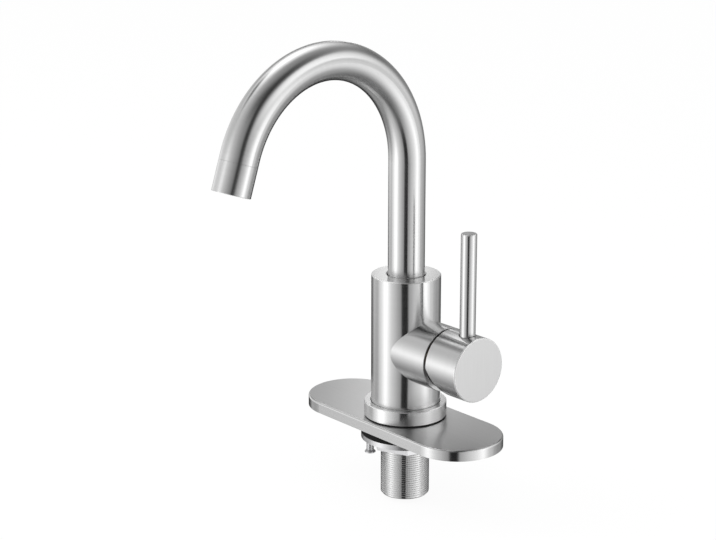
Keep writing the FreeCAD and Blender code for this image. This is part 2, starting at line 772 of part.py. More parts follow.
def make_hub():
    """The handle's hub: a cup over the cartridge, bevelled below so that it can tip down."""
    body = new_body("handle_hub", "barrel")
    cup = spin(
        body,
        "Revolution",
        "cup",
        [
            ("0", "cavity_floor"),
            ("barrel_radius - hub_wall", "cavity_floor"),
            ("barrel_radius - hub_wall", "hub_rim"),
            ("barrel_radius - barrel_chamfer", "hub_rim"),
            ("barrel_radius", "hub_rim + barrel_chamfer"),
            ("barrel_radius", "hub_end"),
            ("0", "hub_end"),
        ],
    )
    doc.recompute()
    ease(body, "Fillet", "edge", cup, edges_at(cup.Shape, "Z", value("hub_end")), "hub_round")
    sketch = new_sketch(body, "bevel", "XZ_Plane")
    depth = "(barrel_radius + hub_gap)"
    outline(
        sketch,
        [
            ("0", "hub_rim"),
            (f"-{depth}", f"hub_rim + {depth} * bevel_slope"),
            (f"-{depth}", "hub_rim - hub_gap"),
            ("0", "hub_rim - hub_gap"),
        ],
    )
    pierce(body, "bevel", sketch)
    sketch = new_sketch(body, "socket", lift="cavity_floor")
    ends = ("-(stem_side + fit_gap / 2)", "stem_side + fit_gap / 2")
    outline(sketch, [(ends[0], ends[0]), (ends[1], ends[0]), (ends[1], ends[1]), (ends[0], ends[1])])
    extrude(body, "Pocket", "socket", sketch, "stem_engage + fit_gap", back=True)
    sketch = new_sketch(body, "lever_recess", "YZ_Plane", "barrel_radius")
    circle(sketch, "lever_radius + lever_recess_gap", "0", "lever_place")
    extrude(body, "Pocket", "lever_recess", sketch, "lever_recess")
    sketch = new_sketch(body, "lever_hole", "YZ_Plane", "lever_seat")
    circle(sketch, "lever_thread + thread_gap", "0", "lever_place")
    extrude(body, "Pocket", "lever_hole", sketch, "lever_engage + fit_gap")
    sketch = new_sketch(body, "grub_hole", "YZ_Plane")
    circle(sketch, "grub_radius + thread_gap", "0", "lever_place")
    extrude(body, "Pocket", "grub_hole", sketch, "barrel_radius")


def make_lever():
    """The round lever, screwed into the top of the hub by a thinner threaded end."""
    turned(
        "lever_rod",
        [
            ("0", "lever_seat - lever_engage"),
            ("lever_thread", "lever_seat - lever_engage"),
            ("lever_thread", "lever_seat"),
            ("lever_radius", "lever_seat"),
            ("lever_radius", "lever_length - lever_chamfer"),
            ("lever_radius - lever_chamfer", "lever_length"),
            ("0", "lever_length"),
        ],
        "lever",
    )


def cut_key(body, face):
    """The hexagon socket in a grub screw's outer face."""
    sketch = new_sketch(body, "key", lift=face)
    hexagon(sketch, "grub_key")
    extrude(body, "Pocket", "key", sketch, "grub_key_depth")


def make_grub_screws():
    """One screw holds the hub on the stem, the other has a dog point that keeps the spout down."""
    end = "stem_side + grub_length"
    corners = [("0", "stem_side"), ("grub_radius", "stem_side"), ("grub_radius", end), ("0", end)]
    cut_key(turned("handle_grub_screw", corners, "hub_grub"), end)

    shoulder, end = "socket_radius + slide_gap", "socket_radius + slide_gap + grub_length"
    tip = "socket_radius - catch_depth + slide_gap * 2"
    corners = [
        ("0", tip),
        ("catch_tip", tip),
        ("catch_tip", shoulder),
        ("grub_radius", shoulder),
        ("grub_radius", end),
        ("0", end),
    ]
    cut_key(turned("spout_grub_screw", corners, "back_grub"), end)


def make_spout_stem():
    """The swivel stem brazed into the tube's foot: flange, journal, seal grooves and catch groove."""
    groove_floor = "(socket_radius - run_gap - ring_cord * 2 - run_gap)"
    corners = [("journal_bore", "journal_foot"), ("journal_radius", "journal_foot")]
    grooves = (
        ("catch_height - ring_spread", "ring_cord + fit_gap", groove_floor),
        ("catch_height", "catch_width / 2", "socket_radius - catch_depth"),
        ("catch_height + ring_spread", "ring_cord + fit_gap", groove_floor),
    )
    for middle, half, floor in grooves:
        low, high = f"{middle} - ({half})", f"{middle} + ({half})"
        corners += [("journal_radius", low), (floor, low), (floor, high), ("journal_radius", high)]
    corners += [
        ("journal_radius", "glide_top"),
        ("tube_radius", "glide_top"),
        ("tube_radius", "tube_foot"),
        ("tube_bore - run_gap", "tube_foot"),
        ("tube_bore - run_gap", "tube_foot + spigot_length"),
        ("journal_bore", "tube_foot + spigot_length"),
    ]
    turned("spout_stem", corners)


def make_swivel_seals():
    """Two rubber rings in the stem's grooves, and the slip ring that the spout turns on."""
    rings = []
    for name, side in (("lower_ring", "-"), ("upper_ring", "+")):
        ring = doc.addObject("Part::Torus", name)
        ring.setExpression("Radius1", formula("socket_radius - run_gap - ring_cord"))
        ring.setExpression("Radius2", formula("ring_cord"))
        ring.setExpression("Placement.Base.z", formula(f"catch_height {side} ring_spread"))
        rings.append(ring)
    pair = doc.addObject("Part::Compound", "swivel_seals")
    pair.Label = "swivel_seals"
    pair.Links = rings
    nodes.append(pair)
    flat_ring("glide_ring", "socket_radius + slide_gap", "tube_radius", "swivel_shoulder", "glide_top")


def make_gooseneck():
    """The bent tube, a ring section swept along a riser, a round bend and a short straight tail."""
    body = new_body("gooseneck", "spout")
    path = new_sketch(body, "path", "YZ_Plane")
    foot, bend, radius = value("tube_foot"), value("bend_height"), value("bend_radius")
    span = value("bend_angle * 1 deg")
    riser = path.addGeometry(
        Part.LineSegment(FreeCAD.Vector(0, foot, 0), FreeCAD.Vector(0, bend, 0)), False
    )
    centre = Part.Circle(FreeCAD.Vector(-radius, bend, 0), FreeCAD.Vector(0, 0, 1), radius)
    arch = path.addGeometry(Part.ArcOfCircle(centre, 0, span), False)
    fix_point(path, riser, 1, "0", "tube_foot")
    path.addConstraint(Sketcher.Constraint("Vertical", riser))
    path.addConstraint(Sketcher.Constraint("Tangent", riser, 2, arch, 1))
    limit(path, "DistanceY", (-1, 1, riser, 2), "bend_height")
    limit(path, "Radius", (arch,), "bend_radius")
    limit(path, "Angle", (arch,), "bend_angle * 1 deg")
    end = FreeCAD.Vector(
        value("-bend_radius * (1 - cos(bend_angle * 1 deg))"),
        value("bend_height + bend_radius * sin(bend_angle * 1 deg)"),
        0,
    )
    reach = FreeCAD.Vector(
        value("-tail_length * sin(bend_angle * 1 deg)"), value("tail_length * cos(bend_angle * 1 deg)"), 0
    )
    tail = path.addGeometry(Part.LineSegment(end, end + reach), False)
    path.addConstraint(Sketcher.Constraint("Tangent", arch, 2, tail, 1))
    limit(path, "Distance", (tail,), "tail_length")
    section = new_sketch(body, "section", lift="tube_foot")
    circle(section, "tube_radius")
    circle(section, "tube_bore")
    tube = body.newObject("PartDesign::AdditivePipe", "gooseneck_tube")
    tube.Profile = section
    tube.Spine = (path, ["Edge1", "Edge2", "Edge3"])


def make_outlet():
    """The straight sleeve at the spout's end, with a spigot into the bent tube."""
    spigot = "tube_bore - slide_gap - fit_gap"
    turned(
        "spout_outlet",
        [
            ("outlet_waist", "-outlet_spigot"),
            (spigot, "-outlet_spigot"),
            (spigot, "0"),
            ("tube_radius - seam_chamfer", "0"),
            ("tube_radius", "seam_chamfer"),
            ("tube_radius", "outlet_length - outlet_chamfer"),
            ("tube_radius - outlet_chamfer", "outlet_length"),
            ("tube_bore", "outlet_length"),
            ("tube_bore", "outlet_step"),
            ("outlet_waist", "outlet_step"),
        ],
        "outlet",
    )


def make_aerator():
    """Seal, housing, screen and jet insert that screw into the outlet from below."""
    lip = "aerator_bore - aerator_lip"
    insert_top = "aerator_end - aerator_lip - insert_thickness"
    flat_ring("aerator_seal_ring", "outlet_waist", "aerator_radius", "outlet_step", "aerator_foot", "outlet")
    turned(
        "aerator_housing",
        [
            ("aerator_bore", "aerator_foot"),
            ("aerator_radius", "aerator_foot"),
            ("aerator_radius", "aerator_end"),
            (lip, "aerator_end"),
            (lip, "aerator_end - aerator_lip"),
            ("aerator_bore", "aerator_end - aerator_lip"),
        ],
        "outlet",
    )
    insert = new_body("aerator_insert", "outlet")
    sketch = new_sketch(insert, "disc", lift=insert_top)
    circle(sketch, "aerator_bore - fit_gap / 2")
    extrude(insert, "Pad", "disc", sketch, "insert_thickness")
    sketch = new_sketch(insert, "jets", lift=f"{insert_top} + insert_thickness")
    circle(sketch, "jet_radius")
    for ring in (1, 2):
        for step in range(6 * ring):
            angle = f"{step} * 60 / {ring} * 1 deg"
            spots = [f"{ring} * jet_spacing * {turn}({angle})" for turn in ("cos", "sin")]
            circle(sketch, "jet_radius", *spots)
    extrude(insert, "Pocket", "jets", sketch, "insert_thickness")
    screen = new_body("aerator_screen", "outlet")
    sketch = new_sketch(screen, "disc", lift=f"{insert_top} - screen_thickness")
    circle(sketch, "aerator_bore - fit_gap / 2")
    extrude(screen, "Pad", "disc", sketch, "screen_thickness")


def jack_spots(sketch, radius):
    """Circles at the two jack screws, over opposite flats of the hexagon."""
    angle = "(nut_turn + 30) * 1 deg"
    for side in SIDES:
        circle(sketch, radius, f"{side}jack_circle * cos({angle})", f"{side}jack_circle * sin({angle})")


def make_clamp():
    """Rubber and steel washers, and the flanged nut with its two flared jack screws."""
    flat_ring("rubber_washer", "shank_hole", "washer_radius", "rubber_foot", "0")
    flat_ring("steel_washer", "shank_hole", "washer_radius", "washer_foot", "rubber_foot")

    nut = new_body("mounting_nut")
    sketch = new_sketch(nut, "flange", lift="flange_foot")
    circle(sketch, "washer_radius")
    extrude(nut, "Pad", "flange", sketch, "flange_thickness")
    sketch = new_sketch(nut, "hex", lift="hex_foot")
    hexagon(sketch, "nut_across", "nut_turn")
    extrude(nut, "Pad", "hex", sketch, "nut_height")
    sketch = new_sketch(nut, "bore", lift="washer_foot")
    circle(sketch, "nut_bore")
    extrude(nut, "Pocket", "bore", sketch, "flange_thickness + nut_height")
    sketch = new_sketch(nut, "jack_holes", lift="washer_foot")
    jack_spots(sketch, "jack_radius + thread_gap")
    extrude(nut, "Pocket", "jack_holes", sketch, "flange_thickness")

    screws = new_body("jack_screws")
    sketch = new_sketch(screws, "shanks", lift="washer_foot")
    jack_spots(sketch, "jack_radius")
    extrude(screws, "Pad", "shanks", sketch, "jack_reach", back=True)
    flare = "(jack_head_radius - jack_radius)"
    sketch = new_sketch(screws, "flares", lift="washer_foot - jack_reach")
    jack_spots(sketch, "jack_radius")
    flares = extrude(screws, "Pad", "flares", sketch, flare, back=True)
    flares.TaperAngle = 45
    sketch = new_sketch(screws, "heads", lift=f"washer_foot - jack_reach - {flare}")
    jack_spots(sketch, "jack_head_radius")
    extrude(screws, "Pad", "heads", sketch, "jack_head_height", back=True)


def check_document():
    """Stop unless every feature was made, every cut took something away and every piece is sound."""
    failed = [o.Name for o in doc.Objects if {"Invalid", "Error"} & set(o.State)]
    cuts = [o for o in doc.Objects if o.TypeId in ("PartDesign::Pocket", "PartDesign::Groove")]
    failed += [o.Name for o in cuts if o.Shape.Volume > o.BaseFeature.Shape.Volume - 1e-3]
    failed += [n.Label for n in nodes if n.Shape.isNull() or not n.Shape.isValid()]
    if failed:
        raise RuntimeError(f"not built: {sorted(set(failed))}")


make_deck_plate()
make_plate_support()
make_plate_seal()
make_base()
make_shank()
make_valve_body()
make_cartridge_base()
make_cartridge_seals()
make_discs()
make_disc_carrier()
make_stem_carrier()
make_stem_pin()
make_cartridge_housing()
make_cartridge_nut()
make_stem()
make_hub()
make_lever()
make_grub_screws()
make_spout_stem()
make_swivel_seals()
make_gooseneck()
make_outlet()
make_aerator()
make_clamp()
doc.recompute()
check_document()

os.makedirs("parts", exist_ok=True)
for node in nodes:
    node.Shape.exportStep(f"parts/{node.Label}.step")
    print(node.Label, len(node.Shape.Solids), round(node.Shape.Volume, 1))
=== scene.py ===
"""Looks of the single-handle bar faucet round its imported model: finishes, threads, studio and camera."""

import math

import bmesh
import bpy
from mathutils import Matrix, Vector


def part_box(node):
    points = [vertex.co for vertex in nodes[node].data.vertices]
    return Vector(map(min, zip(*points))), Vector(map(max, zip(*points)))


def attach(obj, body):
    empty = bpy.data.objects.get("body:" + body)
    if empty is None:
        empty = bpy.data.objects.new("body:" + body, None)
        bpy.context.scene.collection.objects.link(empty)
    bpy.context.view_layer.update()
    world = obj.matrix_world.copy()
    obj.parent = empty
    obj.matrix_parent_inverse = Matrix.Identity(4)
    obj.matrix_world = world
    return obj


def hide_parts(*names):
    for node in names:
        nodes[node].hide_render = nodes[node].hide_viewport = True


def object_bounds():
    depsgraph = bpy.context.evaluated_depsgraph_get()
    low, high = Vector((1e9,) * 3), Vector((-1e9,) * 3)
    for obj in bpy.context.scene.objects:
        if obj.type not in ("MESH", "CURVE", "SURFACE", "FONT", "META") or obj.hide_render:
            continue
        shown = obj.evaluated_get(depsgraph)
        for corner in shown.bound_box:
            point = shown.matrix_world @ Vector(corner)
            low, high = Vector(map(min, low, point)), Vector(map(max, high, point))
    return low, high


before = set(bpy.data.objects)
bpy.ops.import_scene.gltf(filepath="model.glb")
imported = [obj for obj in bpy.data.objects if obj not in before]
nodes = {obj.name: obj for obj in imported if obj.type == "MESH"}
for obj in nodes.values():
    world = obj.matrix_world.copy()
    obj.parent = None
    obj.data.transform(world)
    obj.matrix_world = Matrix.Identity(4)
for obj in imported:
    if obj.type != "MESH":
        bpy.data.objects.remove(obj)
cad_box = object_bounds()

# Lengths are in metres and angles in degrees.
MM = 0.001
UP = Vector((0, 0, 1))
OUT = Vector((1, 0, 0))
ORIGIN = Vector((0, 0, 0))

# The camera, fitted to the edges of the object in the photograph. Its sensor is in millimetres.
PHOTO_WIDTH = 716
FOCAL_PIXELS = 1979
CAMERA_PLACE = Vector((0.90473, -0.82142, 0.45969))
CAMERA_AZIMUTH = 49.218
CAMERA_PITCH = 16.178
SENSOR_WIDTH = 36.0
NEAREST_VIEW = 0.01

# The spout's bend, for brush lines that follow the tube
TUBE_RADIUS = 11.9 * MM
BEND_RADIUS = 71.3 * MM
BEND_ANGLE = 161.0
SPOUT_TURN = 3.2
BEND_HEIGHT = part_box("gooseneck")[1].z - BEND_RADIUS - TUBE_RADIUS

# Radius of the column, and how far outside it the valve body counts as its side barrel
COLUMN_RADIUS = 22.5 * MM
COLUMN_MARGIN = 0.05 * MM

# Threads: depth per pitch, the profile over one pitch as shares of pitch and depth, and how many turns are
# made beyond each end and cut off
THREAD_DEPTH = 0.3
THREAD_PROFILE = ((0.0, 1.0), (0.5, 1.0), (0.62, 0.0), (0.88, 0.0))
SPARE_TURNS = 2

# The shank: pitch of its thread, radius of its bore, chamfer at its lower end, and facets round it
SHANK_PITCH = 1.5 * MM
SHANK_BORE = 13.0 * MM
SHANK_CHAMFER = 1.0 * MM
SHANK_FACETS = 72

# The jack screws: thread, flared head, the head's bevel and round recess, and facets round them
JACK_PITCH = 0.8 * MM
JACK_RADIUS = 2.45 * MM
JACK_HEAD_RADIUS = 3.55 * MM
JACK_HEAD_HEIGHT = 0.8 * MM
JACK_BEVEL = 0.15 * MM
RECESS_RADIUS = 1.9 * MM
RECESS_DEPTH = 0.9 * MM
JACK_FACETS = 32

# Room under the shank for the jack screws' heads when the nut is at the end of its thread
FLOOR_GAP = 3 * MM

# Colours
STEEL = (0.62, 0.62, 0.62)
# Painted light: a lighter copy of the steel for the base ring, which brightens its reflections
LIT_RING_STEEL = (0.72, 0.72, 0.72)
ZINC = (0.66, 0.66, 0.67)
BRASS = (0.72, 0.55, 0.28)
# Dark plating of the cartridge nut: partly its finish and partly painted shade for the gap round the handle
DARK_PLATING_AND_SHADE = (0.1, 0.1, 0.1)
RUBBER = (0.01, 0.01, 0.01)
BLACK_PLASTIC = (0.03, 0.03, 0.03)
PALE_PLASTIC = (0.8, 0.8, 0.78)
CERAMIC = (0.9, 0.89, 0.86)

# What the values of a noise mostly lie between
NOISE_RANGE = (0.3, 0.7)

# Edges with a painted highlight: the shares of the normal along a piece's axis that they lie between, the
# lighter shade painted on them as a highlight, and their roughness. Above the higher share, a surface is a
# flat end.
EDGE_RANGE = (0.2, 0.97)
PAINTED_EDGE_HIGHLIGHT = 1.55
EDGE_ROUGHNESS = 0.48

# Brushed steel: roughness of turned sides and of flat faces, and how far brushing draws a highlight out
TURNED_ROUGHNESS = 0.2
FLAT_ROUGHNESS = 0.29
STRETCH = 0.93
PLATE_STRETCH = 0.8

# Its brush lines: scale of their noise, their shades, how far they change the roughness, and how slowly
# they change along their length
LINES = 1400.0
PLATE_LINES = 1200.0
LINE_SHADES = (0.98, 1.02)
LINE_ROUGHNESS = 0.01
ALONG = 0.02

# Blender draws a highlight out along the tangent, and brushing does so across its lines.
QUARTER_TURN = 0.25

# Plain metal: scale and shades of its mottle, how that changes the roughness, and its bump
MOTTLE_SCALE = 900.0
MOTTLE_SHADES = (0.92, 1.05)
MOTTLE_ROUGHNESS = (-0.04, 0.05)
MOTTLE_BUMP = 0.05
MOTTLE_DEPTH = 0.01 * MM

# Moulded pieces: the mould's fine texture, and the scale and shades of their patches
MOULD_SCALE = 700.0
MOULD_DETAIL = 4.0
MOULD_ROUGHNESS = 0.06
MOULD_BUMP = 0.2
MOULD_DEPTH = 0.05 * MM
LAPPED_DEPTH = 0.01 * MM
PATCH_SCALE = 40.0
PATCH_SHADES = (0.86, 1.12)

# The surround's strength as a source of light. Seen directly, it has a strength of 1, and in reflections the
# light tent hides it.
SURROUND_FILL = 0.85

# The floor: size, colour, roughness, and the share of pure white in what is seen of it directly
FLOOR_SIZE = 12
FLOOR_COLOUR = (0.95, 0.95, 0.95, 1)
FLOOR_ROUGHNESS = 0.9
FLOOR_WHITE = 0.94

# Soft lamps, each with its name, place and power, their size, and the point that they face
LAMPS = (
    ("key", Vector((-0.9, -1.1, 1.6)), 16),
    ("fill", Vector((1.2, -0.6, 1.2)), 8),
)
LAMP_SIZE = 1.2
LAMP_TARGET = Vector((0, 0, 0.1))

# The light tent's middle and radius, the steps of its mesh, and the hardest edge that a card's height has
TENT_CENTRE = Vector((0, 0, 0.08))
TENT_RADIUS = 1.8
AZIMUTH_STEP = 1
ELEVATION_STEP = 3
HARDEST_HEIGHT = 4

# Light in the tent: its even level, how that rises to the right, towards the camera and upwards, its bright
# panels and its dark flags. Each card has azimuth, elevation, half-width and half-height in degrees as seen
# from the object, strength, and hardness of its edges. Azimuths count from the camera to the right. These
# values are the rounded result of a least-squares fit to the brightness of the steel in the photograph, with
# the strip behind changed afterwards.
TENT_LEVEL = 0.314
TENT_SLOPE = (-0.361, -0.115, 0.102)
PANELS = (
    (-71, -6.6, 14.4, 24.6, 0.94, 1.9),  # left
    (-60, -31, 32.5, 55.5, 0.44, 3.2),  # fill on the left
    (67.3, -8.8, 20.7, 36.3, 1.55, 1.5),  # right
    (37.3, -19, 37.3, 29.5, 0.91, 1.8),  # fill on the right
    (68, 30, 45, 13.7, 0.97, 4.2),  # right, above
    (108.5, -5.7, 20.7, 33.6, 1.21, 1.55),  # right, farther back
    (92, 18.7, 8.8, 2.2, 0.59, 2.1),  # strip on the right
    (-119, -5.4, 33.8, 14.5, 1.04, 1.5),  # left, farther back
    (-158.5, 59.8, 52.6, 19.4, 1.57, 2.6),  # behind, high up
    (178.5, 13, 1.6, 11, 1.75, 4),  # strip behind
)
FLAGS = (
    (-5.65, -19.7, 11.8, 24, 1.0, 8.5),  # front
    (7.6, 29, 12, 31, 0.84, 4.3),  # front, above
    (3.8, -68, 8, 9.7, 0.54, 3.9),  # front, below
    (19, 56.8, 60.3, 11, 0.84, 3.9),  # front, at the top
    (-173.3, -26, 41, 17.8, 1.0, 4.3),  # behind, low
    (170.3, 25.9, 43.7, 2.9, 1.0, 4.5),  # behind, on the right
    (-118, 47.4, 14.8, 7.7, 1.0, 3.8),  # behind, on the left
    (-115, -28.7, 13.5, 33.2, 0.48, 4),  # left, low
    (111.5, -16.7, 13.7, 17, 0.49, 4),  # right, low
)


def middle(name):
    """Centre of a CAD piece's box."""
    low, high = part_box(name)
    return (low + high) / 2


class Finish:
    """A material in the making, with short calls for the nodes that the finishes share."""

    def __init__(self, name, colour, roughness, metallic=0.0):
        self.material = bpy.data.materials.new(name)
        self.material.use_nodes = True
        self.tree = self.material.node_tree
        self.shader = self.tree.nodes["Principled BSDF"]
        self.colour = colour
        self.roughness = roughness
        self.set("Base Color", (*colour, 1))
        self.set("Roughness", roughness)
        self.set("Metallic", metallic)
        self.place = self.tree.nodes.new("ShaderNodeTexCoord").outputs["Object"]

    def feed(self, socket, value):
        """Link a socket to another one, or set it to a value."""
        if isinstance(value, bpy.types.NodeSocket):
            self.tree.links.new(value, socket)
        else:
            socket.default_value = value

    def set(self, name, value):
        """Feed an input of the shader."""
        self.feed(self.shader.inputs[name], value)

    def node(self, kind, settings=None, **inputs):
        """Add a node, feed its named inputs and return its first output."""
        node = self.tree.nodes.new(f"ShaderNode{kind}")
        for key, setting in (settings or {}).items():
            setattr(node, key, setting)
        for name, value in inputs.items():
            self.feed(node.inputs[name.replace("_", " ")], value)
        return node.outputs[0]

    def count(self, operation, *values):
        """A sum on numbers."""
        node = self.tree.nodes.new("ShaderNodeMath")
        node.operation = operation
        for socket, value in zip(node.inputs, values):
            self.feed(socket, value)
        return node.outputs[0]

    def vector(self, operation, *values, scale=None):
        """A sum on vectors."""
        node = self.tree.nodes.new("ShaderNodeVectorMath")
        node.operation = operation
        for socket, value in zip(node.inputs, values):
            self.feed(socket, value)
        if scale is not None:
            self.feed(node.inputs["Scale"], scale)
        return node.outputs["Value" if operation in ("DOT_PRODUCT", "LENGTH") else "Vector"]

    def choose(self, flag, no, yes):
        """One vector or the other, by a flag of 0 or 1."""
        step = self.vector("SCALE", self.vector("SUBTRACT", yes, no), scale=flag)
        return self.vector("ADD", no, step)

    def split(self, vector):
        node = self.tree.nodes.new("ShaderNodeSeparateXYZ")
        self.feed(node.inputs[0], vector)
        return node.outputs

    def join(self, x, y, z):
        return self.node("CombineXYZ", X=x, Y=y, Z=z)

    def turn(self, vector, angle):
        """A vector turned about the upright axis."""
        settings = {"rotation_type": "Z_AXIS"}
        return self.node("VectorRotate", settings, Vector=vector, Angle=math.radians(angle))

    def in_world(self, vector):
        settings = {"vector_type": "VECTOR", "convert_from": "OBJECT", "convert_to": "WORLD"}
        return self.node("VectorTransform", settings, Vector=vector)

    def normal(self):
        return self.tree.nodes.new("ShaderNodeNewGeometry").outputs["Normal"]

    def noise(self, vector, scale, detail=3.0, roughness=0.55):
        return self.node("TexNoise", Vector=vector, Scale=scale, Detail=detail, Roughness=roughness)

    def span(self, value, low, high):
        """A noise spread over the range from low to high."""
        node = self.tree.nodes.new("ShaderNodeMapRange")
        for name, number in zip(("From Min", "From Max", "To Min", "To Max"), (*NOISE_RANGE, low, high)):
            node.inputs[name].default_value = number
        self.feed(node.inputs["Value"], value)
        return node.outputs["Result"]

    def shade(self, share):
        """A darker or lighter shade of the base colour."""
        return (*(min(1.0, c * share) for c in self.colour), 1)

    def mix(self, share, no, yes):
        """A colour between two others."""
        node = self.tree.nodes.new("ShaderNodeMix")
        node.data_type = "RGBA"
        self.feed(node.inputs["Factor"], share)
        for socket, colour in zip([s for s in node.inputs if s.type == "RGBA"], (no, yes)):
            self.feed(socket, colour)
        return next(o for o in node.outputs if o.type == "RGBA")

    def tint(self, value, dark, light):
        """The base colour between a darker and a lighter shade of it."""
        colour = self.mix(self.span(value, 0.0, 1.0), self.shade(dark), self.shade(light))
        self.set("Base Color", colour)
        return colour

    def between(self, value, low, high):
        """1 where a value lies between two others, else 0."""
        above = self.count("GREATER_THAN", value, low)
        below = self.count("LESS_THAN", value, high)
        return self.count("MULTIPLY", above, below)

    def bump(self, height, strength, depth):
        self.set("Normal", self.node("Bump", Strength=strength, Distance=depth, Height=height))


def brush(finish, direction, across, highlight_edge=0.0, flat=0.0, stretch=STRETCH, lines=LINES):
    """Fine parallel brush lines: shade, roughness and a highlight drawn out across them.

    The two marks, 0 or 1, say where an edge gets a painted highlight, a lighter shade with more roughness,
    and where a flat face is duller.
    """
    grain = finish.noise(across, lines, detail=2.0, roughness=0.6)
    colour = finish.tint(grain, *LINE_SHADES)
    # Painted highlight: the marked edges take a lighter shade of the colour.
    finish.set("Base Color", finish.mix(highlight_edge, colour, finish.shade(PAINTED_EDGE_HIGHLIGHT)))
    rough = finish.span(grain, finish.roughness - LINE_ROUGHNESS, finish.roughness + LINE_ROUGHNESS)
    for mark, least in ((highlight_edge, EDGE_ROUGHNESS), (flat, FLAT_ROUGHNESS)):
        rough = finish.count("MAXIMUM", rough, finish.count("MULTIPLY", mark, least))
    finish.set("Roughness", rough)
    finish.set("Anisotropic", stretch)
    finish.set("Anisotropic Rotation", QUARTER_TURN)
    finish.set("Tangent", direction)
    return finish.material


def lathe_lines(finish, axis, centre):
    """Brush lines round an axis: their direction, the place across them and the distance from the axis."""
    offset = finish.vector("SUBTRACT", finish.place, centre)
    height = finish.vector("DOT_PRODUCT", offset, axis)
    spoke = finish.vector("SUBTRACT", offset, finish.vector("SCALE", axis, scale=height))
    radius = finish.vector("LENGTH", spoke)
    x, y, z = finish.split(spoke)
    along = finish.count("MULTIPLY", finish.count("ADD", finish.count("ADD", x, y), z), ALONG)
    direction = finish.in_world(finish.vector("CROSS_PRODUCT", axis, spoke))
    return direction, finish.join(height, radius, along), radius


def straight_ends(finish, axis, line, direction, across):
    """Brush lines that run straight over a turned piece's flat ends, and the marks of its edges and ends.

    Only edges on the end that the axis points to get the painted highlight.
    """
    facing = finish.vector("DOT_PRODUCT", finish.in_world(axis), finish.normal())
    end = finish.count("GREATER_THAN", finish.count("ABSOLUTE", facing), EDGE_RANGE[1])
    beside = finish.vector("DOT_PRODUCT", finish.place, axis.cross(line))
    along = finish.count("MULTIPLY", finish.vector("DOT_PRODUCT", finish.place, line), ALONG)
    direction = finish.choose(end, direction, finish.in_world(line))
    across = finish.choose(end, across, finish.join(beside, 0.0, along))
    return direction, across, finish.between(facing, *EDGE_RANGE), end


def turned_steel(name, axis, centre, line, dull_ends=False, colour=STEEL):
    """Steel brushed round an axis on its sides and along a line on its flat ends."""
    finish = Finish(name, colour, TURNED_ROUGHNESS, 1.0)
    direction, across, _ = lathe_lines(finish, axis, centre)
    direction, across, highlight_edge, end = straight_ends(finish, axis, line, direction, across)
    return brush(finish, direction, across, highlight_edge, end if dull_ends else 0.0)


def body_steel(name):
    """Steel of the valve body, brushed round the column and, outside it, round the barrel."""
    finish = Finish(name, STEEL, TURNED_ROUGHNESS, 1.0)
    column, column_across, radius = lathe_lines(finish, UP, ORIGIN)
    column, column_across, highlight_edge, _ = straight_ends(finish, UP, OUT, column, column_across)
    barrel, barrel_across, _ = lathe_lines(finish, OUT, middle("stem_pin"))
    outside = finish.count("GREATER_THAN", radius, COLUMN_RADIUS + COLUMN_MARGIN)
    direction = finish.choose(outside, column, barrel)
    across = finish.choose(outside, column_across, barrel_across)
    # The painted edge highlight stays off the barrel.
    highlight_edge = finish.count("MULTIPLY", highlight_edge, finish.count("SUBTRACT", 1.0, outside))
    return brush(finish, direction, across, highlight_edge)


def tube_steel(name):
    """Steel brushed round the spout's tube, up its riser and over the bend."""
    finish = Finish(name, STEEL, TURNED_ROUGHNESS, 1.0)
    x, y, z = finish.split(finish.turn(finish.place, -SPOUT_TURN))
    rise = finish.count("MAXIMUM", finish.count("SUBTRACT", z, BEND_HEIGHT), 0.0)
    angle = finish.count("ARCTAN2", rise, finish.count("ADD", y, BEND_RADIUS))
    riser = finish.count("MINIMUM", z, BEND_HEIGHT)
    height = finish.count("ADD", riser, finish.count("MULTIPLY", angle, BEND_RADIUS))
    back = finish.count("MULTIPLY", finish.count("SINE", angle), -1.0)
    axis = finish.turn(finish.join(0.0, back, finish.count("COSINE", angle)), SPOUT_TURN)
    direction = finish.vector("CROSS_PRODUCT", finish.in_world(axis), finish.normal())
    return brush(finish, direction, finish.join(height, 0.0, finish.count("MULTIPLY", x, ALONG)))


def plate_steel(name):
    """Steel brushed along the deck plate, and round its edge."""
    finish = Finish(name, STEEL, TURNED_ROUGHNESS, 1.0)
    normal = finish.normal()
    rise = finish.split(normal)[2]
    flat = finish.count("GREATER_THAN", rise, EDGE_RANGE[1])
    hoop = finish.vector("CROSS_PRODUCT", UP, normal)
    x, y, z = finish.split(finish.place)
    across = finish.join(finish.count("MULTIPLY", y, flat), z, finish.count("MULTIPLY", x, ALONG))
    direction = finish.choose(flat, hoop, OUT)
    return brush(finish, direction, across, flat=flat, stretch=PLATE_STRETCH, lines=PLATE_LINES)


def plain_metal(name, colour, roughness):
    """Machined metal with a faint even mottle."""
    finish = Finish(name, colour, roughness, 1.0)
    grain = finish.noise(finish.place, MOTTLE_SCALE)
    finish.tint(grain, *MOTTLE_SHADES)
    finish.set("Roughness", finish.span(grain, *(roughness + change for change in MOTTLE_ROUGHNESS)))
    finish.bump(grain, MOTTLE_BUMP, MOTTLE_DEPTH)
    return finish.material


def moulded(name, colour, roughness, depth=MOULD_DEPTH, gloss=0.5):
    """Rubber, plastic or ceramic with the fine texture of its mould."""
    finish = Finish(name, colour, roughness)
    grain = finish.noise(finish.place, MOULD_SCALE, detail=MOULD_DETAIL)
    finish.tint(finish.noise(finish.place, PATCH_SCALE), *PATCH_SHADES)
    finish.set("Roughness", finish.span(grain, roughness - MOULD_ROUGHNESS, roughness + MOULD_ROUGHNESS))
    finish.bump(grain, MOULD_BUMP, depth)
    finish.set("Specular IOR Level", gloss)
    return finish.material


def dress(material, *names):
    """Give a finish to CAD pieces."""
    for name in names:
        mesh = nodes[name].data
        mesh.materials.clear()
        mesh.materials.append(material)


def outlet_axis():
    """Direction of the straight sleeve at the spout's end."""
    bend, turn = math.radians(BEND_ANGLE), math.radians(SPOUT_TURN)
    reach = -math.sin(bend)
    return Vector((-math.sin(turn) * reach, math.cos(turn) * reach, math.cos(bend)))


